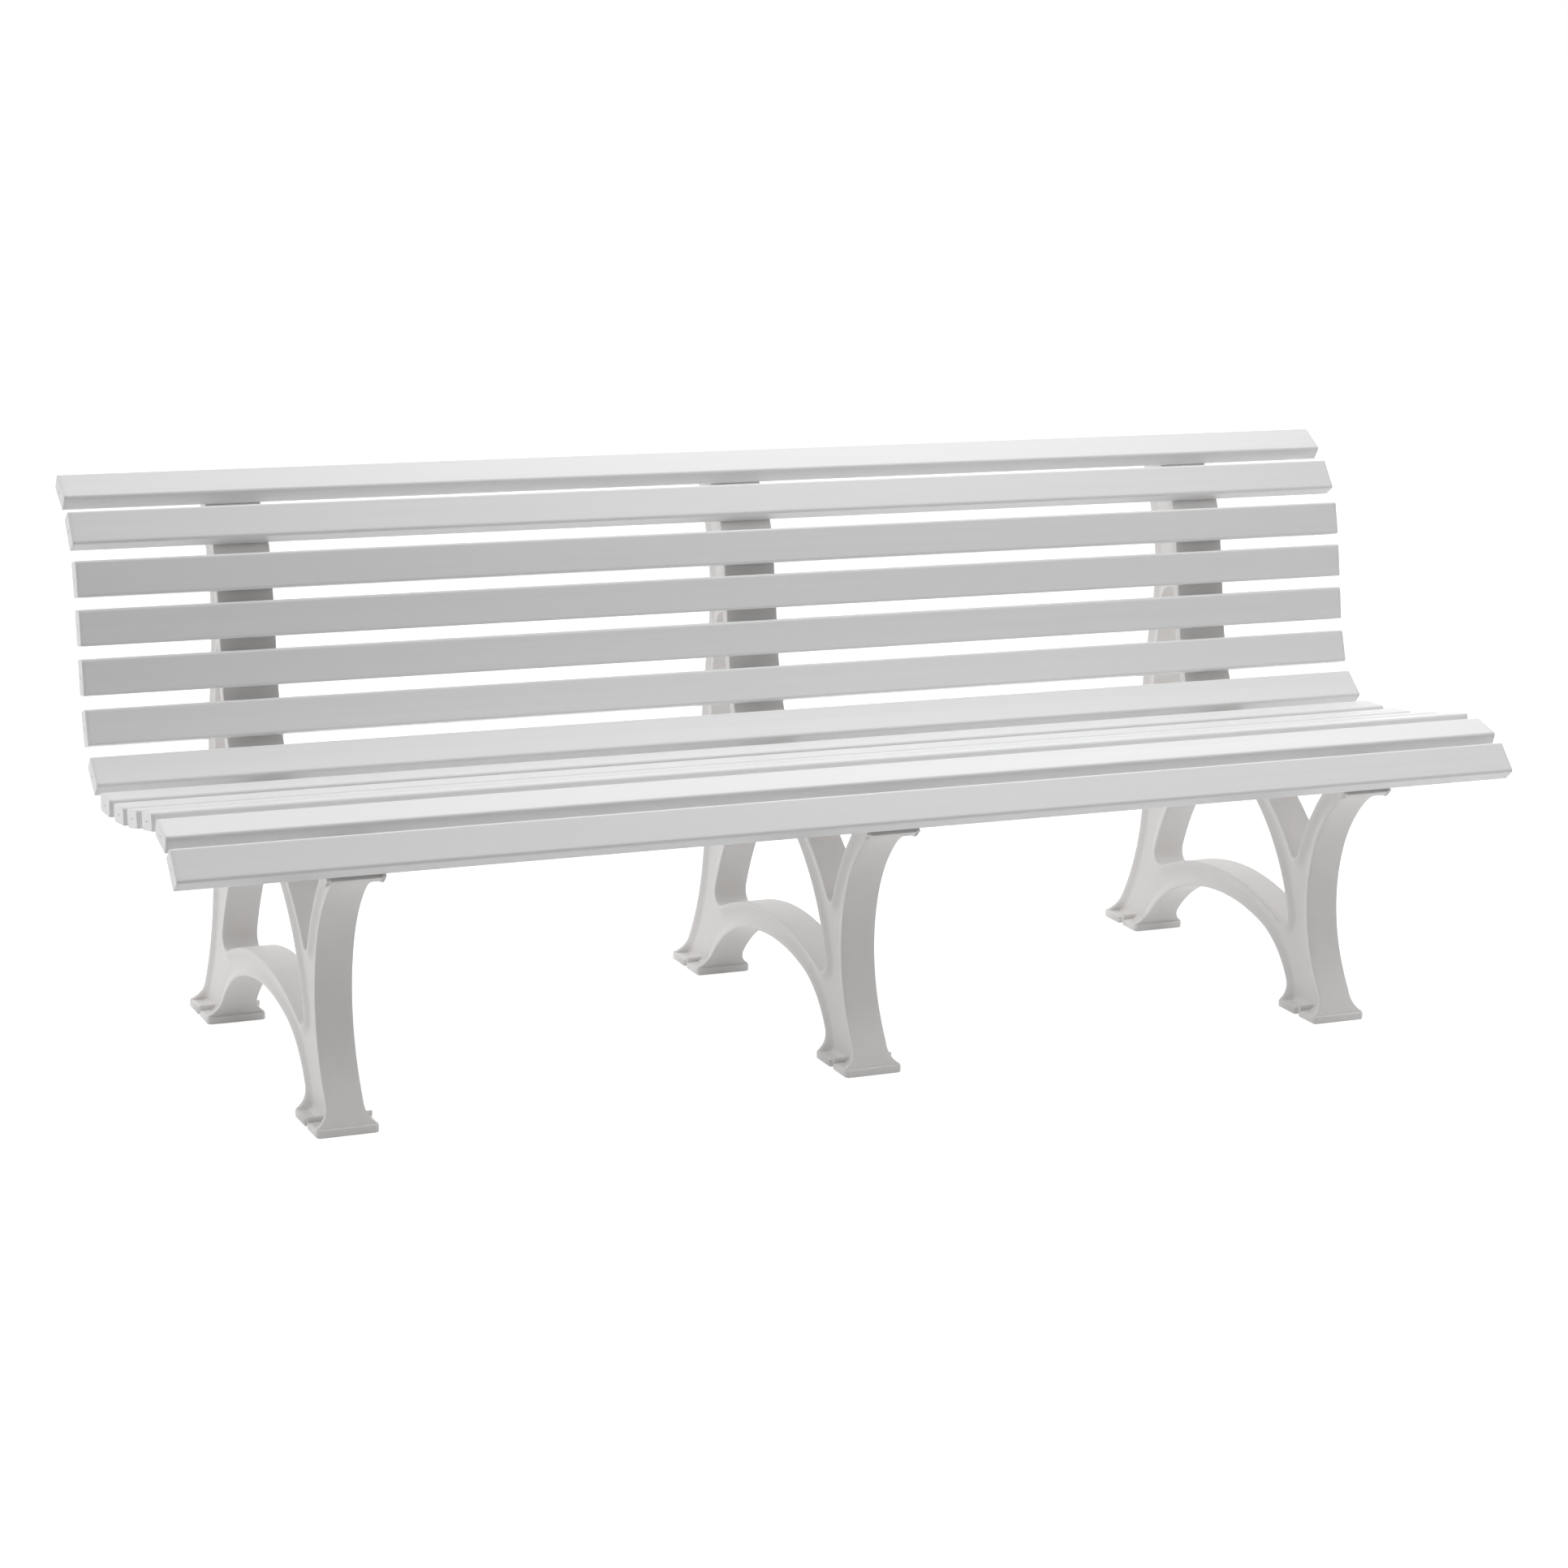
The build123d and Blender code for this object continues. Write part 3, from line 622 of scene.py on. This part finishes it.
def side_loops(node, x):
    """Closed loops in (y, z) where the plane at x cuts a node: the cut edges, chained end to end."""
    cut = bmesh.new()
    cut.from_mesh(nodes[node].data)
    bmesh.ops.remove_doubles(cut, verts=cut.verts, dist=0.001 * MM)
    found = bmesh.ops.bisect_plane(cut, geom=cut.verts[:] + cut.edges[:] + cut.faces[:],
                                   plane_co=(x * MM, 0, 0), plane_no=(1, 0, 0))
    beside = {}
    for edge in found["geom_cut"]:
        if isinstance(edge, bmesh.types.BMEdge):
            for vert in edge.verts:
                beside.setdefault(vert, []).append(edge.other_vert(vert))
    loops = []
    while beside:
        step = next(iter(beside))
        loop = []
        while step is not None:
            loop.append(step.co[1:])
            step = next((vert for vert in beside.pop(step) if vert in beside), None)
        loops.append(np.array(loop) / MM)
    cut.free()
    return sorted(loops, key=lambda loop: np.ptp(loop[:, 1]), reverse=True)


raw_loops = side_loops("middle_frame", FRAME_X["middle"] + SLICE_OFFSET)
print("loops:", [len(loop) for loop in raw_loops])

# %% [markdown]
# The slice also meets the rail and the foot plates, which are shells of their own here. So the outline
# is pulled in where it follows them: it stops inside the flange, inside the front lip and inside the
# plates. Then every loop gets evenly spaced points, with the plastic on its left.

# %% Outline of the legs
SLICE_STEP, OUTLINE_STEP = 0.5, 2.8
TUCK = 3.0
RECESS_DEPTH = 7.5
# How far past the lip a point still counts as on it, along the rail and under it
LIP_MARGIN = (0.5, 0.7)
# The same for a foot plate, along it and above it
PLATE_MARGIN = (1.0, 0.2)
SEAT_MARGIN = 1.0
PATH_SAMPLES = 4000


def even_points(loop, spacing):
    """Evenly spaced points on a closed line, from its running length."""
    closed = np.vstack([loop, loop[:1]])
    run = np.concatenate([[0.0], np.cumsum(np.linalg.norm(np.diff(closed, axis=0), axis=1))])
    at = np.linspace(0.0, run[-1], int(run[-1] / spacing), endpoint=False)
    return np.column_stack([np.interp(at, run, closed[:, axis]) for axis in (0, 1)])


def plastic_on_left(loop, hole):
    """The loop turned counter-clockwise, or clockwise round a hole, by the sign of its area."""
    y, z = loop.T
    area = np.sum(y * np.roll(z, -1) - np.roll(y, -1) * z)
    return loop if (area < 0) == hole else loop[::-1]


def tucked_front(points):
    """Points on the front lip move inside it, and the hollow behind the lip is cut down to its depth."""
    local = points - FRONT_LIP
    shift, depth = local @ FRONT_ALONG, local @ FRONT_UNDER
    on_lip = ((np.abs(shift) < FRONT_LIP_THICKNESS / 2 + LIP_MARGIN[0])
              & (np.abs(depth - FRONT_LIP_DEPTH / 2) < FRONT_LIP_DEPTH / 2 + LIP_MARGIN[1]))
    sunk = np.clip(depth, FRONT_LIP_GAP + TUCK, FRONT_LIP_DEPTH - TUCK)
    points = np.where(on_lip[:, None], FRONT_LIP + sunk[:, None] * FRONT_UNDER, points)
    behind = (shift > 0.0) & (shift < RAIL_START) & (depth > -SEAT_MARGIN) & (depth < RECESS_DEPTH)
    return points + np.where(behind & ~on_lip, RECESS_DEPTH - depth, 0.0)[:, None] * FRONT_UNDER


def tucked_seat(points):
    """Points on the slats' seats move down into the flange."""
    at = np.linspace(0, 1, PATH_SAMPLES)
    along = np.linspace(0, 1, len(RAIL_POINTS))
    path = np.column_stack([np.interp(at, along, values) for values in (*RAIL_POINTS.T, RAIL_TILTS)])
    away = np.linalg.norm(points[:, None] - path[None, :, :2], axis=2)
    tilt = path[away.argmin(1), 2]
    drop = np.where(away.min(1) < SEAT_MARGIN, TUCK, 0.0)
    return points + drop[:, None] * np.column_stack([np.sin(tilt), -np.cos(tilt)])


def tucked_feet(points):
    """Points on the sides and undersides of the foot plates move inside them."""
    y, z = points.T
    for place in (FEET["middle_front_foot"], FEET["middle_rear_foot"]):
        shift = y - place[1]
        on_plate = ((np.abs(shift) < BASE_LENGTH / 2 + PLATE_MARGIN[0])
                    & (z < BASE_THICKNESS + PLATE_MARGIN[1]))
        half = BASE_LENGTH / 2 - TUCK
        y = np.where(on_plate, place[1] + np.clip(shift, -half, half), y)
    return np.column_stack([y, np.maximum(z, TUCK)])


outer_loop = tucked_feet(tucked_seat(tucked_front(even_points(raw_loops[0], SLICE_STEP))))
LOOPS = [plastic_on_left(even_points(outer_loop, OUTLINE_STEP), hole=False)]
LOOPS += [plastic_on_left(even_points(loop, OUTLINE_STEP), hole=True) for loop in raw_loops[1:]]
STARTS = np.vstack(LOOPS)
ENDS = np.vstack([np.roll(loop, -1, axis=0) for loop in LOOPS])
print("outline points:", len(STARTS))


# %% Distance to the outline
def in_chunks(measure, points, size=3000):
    """A measure of many points, taken a few thousand at a time to spare memory."""
    return np.concatenate([measure(points[i:i + size]) for i in range(0, len(points), size)])


def edge_distance(points):
    """Distance from each point to the nearest piece of the outline."""
    run = ENDS - STARTS
    offset = points[:, None] - STARTS
    share = np.clip((offset * run).sum(2) / np.maximum((run ** 2).sum(1), 1e-12), 0.0, 1.0)
    return np.sqrt(((offset - share[..., None] * run) ** 2).sum(2).min(1))


def in_plastic(points):
    """True where a line from the point towards +y crosses the outline an odd number of times."""
    y, z = points[:, :1], points[:, 1:]
    rise = ENDS[:, 1] - STARTS[:, 1]
    crosses = (STARTS[:, 1] > z) != (ENDS[:, 1] > z)
    level = np.where(rise == 0.0, 1.0, rise)
    at = STARTS[:, 0] + (z - STARTS[:, 1]) * (ENDS[:, 0] - STARTS[:, 0]) / level
    return (crosses & (y < at)).sum(1) % 2 == 1


AREA = np.sum(STARTS[:, 0] * ENDS[:, 1] - ENDS[:, 0] * STARTS[:, 1]) / 2
print("plastic in the side view:", round(float(AREA) / 100), "square cm")


# %% [markdown]
# The side of a leg isn't flat. A rounded rim runs along every edge, and inside it the side is dished.
# That is a height over the side view: the half width of the leg as a function of the distance to its
# edge. Points are set close together where this height bends, in lines beside the edges, and wide apart
# on the quiet web.

# %% Points over the side view
RIM_LINES = [0.15, 0.59, 1.23, 2.0, 3.1, 4.5, 6.5, 8.5, 11.0, 13.5, 16.5]
CROWDED = 0.93
GRID_STEP, ROW_SHARE = 6.0, 0.866
FOOT_STEP, FOOT_ZONE = 1.7, 56.0
FOOT_RIM, FOOT_INNER = 2.0, 2.7


def hex_grid(low, high, step):
    """A grid of points in staggered rows."""
    y, z = np.meshgrid(np.arange(low[0], high[0], step), np.arange(low[1], high[1], step * ROW_SHARE))
    y = y + np.where(np.arange(len(y)) % 2, step / 2, 0.0)[:, None]
    return np.column_stack([y.ravel(), z.ravel()])


def rim_points():
    """Lines beside each loop, on the plastic's side, without the points that crowd a corner."""
    lines = []
    for loop in LOOPS:
        run = np.roll(loop, -1, axis=0) - np.roll(loop, 1, axis=0)
        inward = np.column_stack([-run[:, 1], run[:, 0]]) / np.linalg.norm(run, axis=1, keepdims=True)
        for distance in RIM_LINES:
            line = loop + distance * inward
            true = in_chunks(edge_distance, line)
            lines.append(line[true > CROWDED * distance])
    return np.vstack(lines)


def web_points():
    """The outline, then lines along the rims, a fine grid at the feet and a coarse one elsewhere."""
    rims = rim_points()
    coarse = hex_grid(STARTS.min(0), STARTS.max(0), GRID_STEP)
    fine = hex_grid(STARTS.min(0), (STARTS[:, 0].max(), FOOT_ZONE), FOOT_STEP)
    rims = rims[(rims[:, 1] > FOOT_ZONE) | (in_chunks(edge_distance, rims) < FOOT_RIM)]
    coarse = coarse[(coarse[:, 1] > FOOT_ZONE) & in_chunks(in_plastic, coarse)]
    coarse = coarse[in_chunks(edge_distance, coarse) > RIM_LINES[-1] + GRID_STEP / 2]
    fine = fine[in_chunks(in_plastic, fine)]
    fine = fine[in_chunks(edge_distance, fine) > FOOT_INNER]
    return np.vstack([STARTS, rims, coarse, fine])


def web_triangles(points):
    """Triangles over all points that keep the outline's edges and lie in the plastic."""
    edges = []
    first = 0
    for loop in LOOPS:
        index = np.arange(first, first + len(loop))
        edges.append(np.column_stack([index, np.roll(index, -1)]))
        first += len(loop)
    places, _, triangles, *_ = delaunay_2d_cdt(points.tolist(), np.vstack(edges).tolist(), [], 0, 1e-5)
    places, triangles = np.array([place[:] for place in places]), np.array(triangles)
    middles = places[triangles].mean(axis=1)
    return places, triangles[in_chunks(in_plastic, middles)]


WEB_PLACES, WEB_TRIANGLES = web_triangles(web_points())
print("points over the side view:", len(WEB_PLACES), "triangles:", len(WEB_TRIANGLES))

# %% [markdown]
# Near the ground the front and rear walls of a leg widen to the corners of the foot plate, and at its
# head the front wall widens to the rail. Seen from the front each widening is an arc, and it only
# reaches a little way behind the wall. The height adds it where the distance to the wall is small, and
# a small fillet joins the web to the plate.

# %% Half width of the legs
CORE_WIDTH, RIM_EDGE = 52.0, 2.0
DISH_DEPTH, DISH_START, DISH_END = 5.0, 3.0, 17.0
FLARE_TOP, FLARE_FLAT, FLARE_DEPTH, FLARE_SINK = 38.0, 6.5, 13.0, 1.0
HEAD_FLARE_START, HEAD_FLARE_END, HEAD_FLARE_TOP, HEAD_FADE = 334.0, 351.0, 356.0, 4.0
HEAD_INDENT = 0.4
LEG_REACH, WALL_LOOK = 90.0, 30.0
BASE_FILLET = 5.0


def smooth_step(values, low, high):
    """0 below low, 1 above high, and a smooth S between them."""
    t = np.clip((values - low) / (high - low), 0.0, 1.0)
    return t * t * (3.0 - 2.0 * t)


def arc_rise(run, length, rise):
    """Rise of an arc that starts along the run and gains a given rise over its length."""
    radius = (length ** 2 + rise ** 2) / (2.0 * rise)
    return radius - np.sqrt(radius ** 2 - np.clip(run, 0.0, length) ** 2)


def behind_wall(places, facing, middle, z_range):
    """Distance in y behind the outline's wall on one side of a middle, at each point's own height."""
    y, z = LOOPS[0].T
    on_wall = (facing * (y - middle) < 0) & (np.abs(y - middle) < LEG_REACH)
    wall = LOOPS[0][on_wall & (z > z_range[0]) & (z < z_range[1])]
    wall = wall[np.argsort(wall[:, 1])]
    distance = facing * (places[:, 0] - np.interp(places[:, 1], wall[:, 1], wall[:, 0]))
    near = np.abs(places[:, 0] - middle) < LEG_REACH
    return np.where(near, np.maximum(distance, 0.0), np.inf)


def wall_share(distance):
    """1 at a wall, fading to 0 a little way behind it."""
    return 1.0 - smooth_step(distance, FLARE_FLAT, FLARE_DEPTH)


def foot_flare(places):
    """Rise of the flare over a foot, and the share of it that each point takes."""
    z = places[:, 1]
    share = np.zeros(len(places))
    for place in (FEET["middle_front_foot"], FEET["middle_rear_foot"]):
        for facing in (1.0, -1.0):
            behind = behind_wall(places, facing, place[1], (TUCK, FLARE_TOP + WALL_LOOK))
            share = np.maximum(share, wall_share(behind))
    rise = arc_rise(FLARE_TOP - z, FLARE_TOP - BASE_THICKNESS, (BASE_WIDTH - CORE_WIDTH) / 2)
    return np.where(z < BASE_THICKNESS, rise - FLARE_SINK, rise), share


def head_flare(places):
    """Widening of the front wall towards the rail, gone again inside the rail."""
    z = places[:, 1]
    behind = behind_wall(places, 1.0, FEET["middle_front_foot"][1], (HEAD_FLARE_START - WALL_LOOK, np.inf))
    rise = arc_rise(z - HEAD_FLARE_START, HEAD_FLARE_END - HEAD_FLARE_START,
                    (RAIL_WIDTH - CORE_WIDTH) / 2 - HEAD_INDENT)
    gone = smooth_step(z, HEAD_FLARE_TOP - HEAD_FADE, HEAD_FLARE_TOP + HEAD_FADE)
    return rise * wall_share(behind) * (1.0 - gone)


def half_width(places):
    """Core half width with its rounded rim, less the dish, plus the flares and the fillet at the foot."""
    z = places[:, 1]
    edge = in_chunks(edge_distance, places)
    foot_rise, foot_share = foot_flare(places)
    flared = np.where(z < FLARE_TOP, foot_share, 0.0)
    rim = np.sqrt(RIM_EDGE ** 2 - (RIM_EDGE - np.minimum(edge, RIM_EDGE)) ** 2)
    flat = 1.0 - flared * foot_rise / np.max(foot_rise)
    dish = DISH_DEPTH * smooth_step(edge, DISH_START, DISH_END) * flat
    low = BASE_FILLET - np.clip(z - BASE_THICKNESS, 0.0, BASE_FILLET)
    fillet = (BASE_FILLET - np.sqrt(BASE_FILLET ** 2 - low ** 2)) * (1.0 - flared)
    return CORE_WIDTH / 2 - RIM_EDGE + rim - dish + foot_share * foot_rise + head_flare(places) + fillet


WEB_HALF = half_width(WEB_PLACES)
print("half width from", round(float(WEB_HALF.min()), 1), "to", round(float(WEB_HALF.max()), 1), "mm")

# %% [markdown]
# The two sides of the moulding are the same height, one mirrored. Strips across the width join them
# along every loop, and the rim meets each strip at a right angle to the side, so the edge reads as one
# round.

# %% Frames
STRIP_ROWS = 7


def web_surface(x):
    """Both sides of the moulding at plus and minus the half width, joined by strips along each loop."""
    count = len(WEB_PLACES)
    points = [np.column_stack([x + sign * WEB_HALF, WEB_PLACES]) for sign in (1.0, -1.0)]
    blocks = [WEB_TRIANGLES, WEB_TRIANGLES[:, ::-1] + count]
    total = 2 * count
    first = 0
    for loop in LOOPS:
        index = np.arange(first, first + len(loop))
        across = np.linspace(1.0, -1.0, STRIP_ROWS)[:, None] * WEB_HALF[index]
        yz = np.broadcast_to(WEB_PLACES[index], (STRIP_ROWS, len(loop), 2))
        points.append(np.dstack([x + across, yz]).reshape(-1, 3))
        blocks.append(ring_faces(STRIP_ROWS, len(loop)) + total)
        total += STRIP_ROWS * len(loop)
        first += len(loop)
    return np.vstack(points), blocks


for side, x in FRAME_X.items():
    shells = [web_surface(x), rail_surface(x), *front_lip(x)]
    for place in (FEET[f"{side}_front_foot"], FEET[f"{side}_rear_foot"]):
        shells += [foot_surface(place), bead_surface(place)]
    node = f"{side}_frame"
    moulding = build_piece(f"{node}_moulding", shells, frame_plastic, node)
    print(moulding.name, len(moulding.data.vertices), "points", len(moulding.data.polygons), "faces")

# %% [markdown]
# The floor is a wide pale plane that fades to grey in front of the bench, towards the dark end of the
# room. To the camera it glows just enough to read as white paper everywhere, while its diffuse part still
# takes the soft shadow under the feet. Seen from below it lets the view through.

# %% Floor
FLOOR_HALF = 40.0
FLOOR_BACK = (0.1, 0.99, 0.0)
FLOOR_FADE = (-1.8, -0.45)
FLOOR_TONES = (0.2, 0.87)
FLOOR_GLOW, GLOW_LOSS = 1.13, 0.55


def seen_rays(tree):
    """1 for rays from the camera and for what shines back or through, 0 for rays that light the object."""
    path = new_node(tree, "LightPath")
    seen = path.outputs["Is Camera Ray"]
    for kind in ("Is Glossy Ray", "Is Transmission Ray"):
        seen = new_node(tree, "Math", {0: seen, 1: path.outputs[kind]}, operation="MAXIMUM").outputs[0]
    return seen


def paper_finish():
    """A diffuse tone that fades to grey in front; seen rays get a glow of FLOOR_GLOW - GLOW_LOSS x tone."""
    material = bpy.data.materials.new("floor_paper")
    material.use_nodes = True
    tree = material.node_tree
    tree.nodes.clear()
    place = new_node(tree, "TexCoord").outputs["Object"]
    back = new_node(tree, "VectorMath", {0: place, 1: FLOOR_BACK}, operation="DOT_PRODUCT")
    tone = new_node(tree, "MapRange", {"Value": back.outputs["Value"],
                                       "From Min": FLOOR_FADE[0], "From Max": FLOOR_FADE[1],
                                       "To Min": FLOOR_TONES[0], "To Max": FLOOR_TONES[1]},
                    interpolation_type="SMOOTHSTEP").outputs[0]
    strength = new_node(tree, "Math", {0: tone, 1: -GLOW_LOSS, 2: FLOOR_GLOW}, operation="MULTIPLY_ADD")
    diffuse = new_node(tree, "BsdfDiffuse", {"Color": tone})
    glow = new_node(tree, "Emission", {"Strength": strength.outputs[0]})
    lit = new_node(tree, "AddShader", {0: diffuse.outputs[0], 1: glow.outputs[0]})
    seen = new_node(tree, "MixShader", {0: seen_rays(tree), 1: diffuse.outputs[0], 2: lit.outputs[0]})
    clear = new_node(tree, "BsdfTransparent")
    below = new_node(tree, "NewGeometry").outputs["Backfacing"]
    surface = new_node(tree, "MixShader", {0: below, 1: seen.outputs[0], 2: clear.outputs[0]})
    new_node(tree, "OutputMaterial", {"Surface": surface.outputs[0]})
    return material


def paper_floor():
    """A wide square plane at the ground."""
    mesh = bpy.data.meshes.new("floor")
    corners = [(x * FLOOR_HALF, y * FLOOR_HALF, 0.0) for x, y in ((-1, -1), (1, -1), (1, 1), (-1, 1))]
    mesh.from_pydata(corners, [], [(0, 1, 2, 3)])
    mesh.materials.append(paper_finish())
    floor = bpy.data.objects.new("floor", mesh)
    scene.collection.objects.link(floor)
    return floor


floor = paper_floor()
print("floor:", floor.name, "tones", FLOOR_TONES)

# %% [markdown]
# The light is a white studio seen from its dark end: walls and back are white, the ceiling is a bright
# soft box, and in front, where the camera stands, the room is dark. So the tops and the ends of the
# slats are light and whatever faces the camera is in shade. The camera and the reflections see a plain
# white room instead.

# %% Sky and lamps
WALL_LEVEL = 0.87
# Direction, where the step starts and is full as a cosine to it, and what it adds to the wall's level
CEILING = ((0.0, 0.0, 1.0), 0.65, 0.95, 0.44)
DARK_END = ((-0.14, -0.97, 0.18), 0.25, 0.85, -0.87)
LAMP_UP = (0.0, 1.0, 0.2)


def studio_sky():
    """Sky strength is the wall's level plus a smooth step towards the ceiling and the dark end."""
    world = bpy.data.worlds.new("studio")
    scene.world = world
    world.use_nodes = True
    tree = world.node_tree
    tree.nodes.clear()
    direction = new_node(tree, "TexCoord").outputs["Generated"]
    level = WALL_LEVEL
    for toward, start, full, change in (CEILING, DARK_END):
        facing = new_node(tree, "VectorMath", {0: direction, 1: toward}, operation="DOT_PRODUCT")
        step = new_node(tree, "MapRange", {"Value": facing.outputs["Value"], "From Min": start,
                                           "From Max": full, "To Min": 0.0, "To Max": change},
                        interpolation_type="SMOOTHSTEP")
        level = new_node(tree, "Math", {0: level, 1: step.outputs[0]}, operation="ADD").outputs[0]
    white = (1.0, 1.0, 1.0, 1.0)
    sky = new_node(tree, "Background", {"Color": white, "Strength": level})
    plain = new_node(tree, "Background", {"Color": white, "Strength": 1.0})
    shown = new_node(tree, "MixShader", {0: seen_rays(tree), 1: sky.outputs[0], 2: plain.outputs[0]})
    new_node(tree, "OutputWorld", {"Surface": shown.outputs[0]})


def soft_lamp(name, place, target, size, power):
    """A square area lamp at a place, facing a target, unseen by the camera."""
    lamp = bpy.data.lights.new(name, "AREA")
    lamp.size = size
    lamp.energy = power
    piece = bpy.data.objects.new(name, lamp)
    back = np.array(place) - np.array(target)
    back = back / np.linalg.norm(back)
    right = np.cross(LAMP_UP, back)
    right = right / np.linalg.norm(right)
    up = np.cross(back, right)
    turned = Matrix(np.array([right, up, back]).T.tolist()).to_4x4()
    piece.matrix_world = Matrix.Translation(place) @ turned
    piece.visible_camera = False
    piece.visible_glossy = False
    scene.collection.objects.link(piece)
    return piece


studio_sky()
soft_lamp("overhead", (-0.5, 0.2, 2.1), (-0.4, 0.1, 0.6), 2.0, 3.0)
soft_lamp("over_seat", (0.3, -0.2, 1.7), (0.3, 0.1, 0.6), 1.6, 5.3)
soft_lamp("right_fill", (3.6, -2.0, 1.6), (0.6, 0.0, 0.5), 2.0, 14.0)
scene.view_settings.view_transform = "Standard"
print("sky levels:", WALL_LEVEL, CEILING[-1], DARK_END[-1])
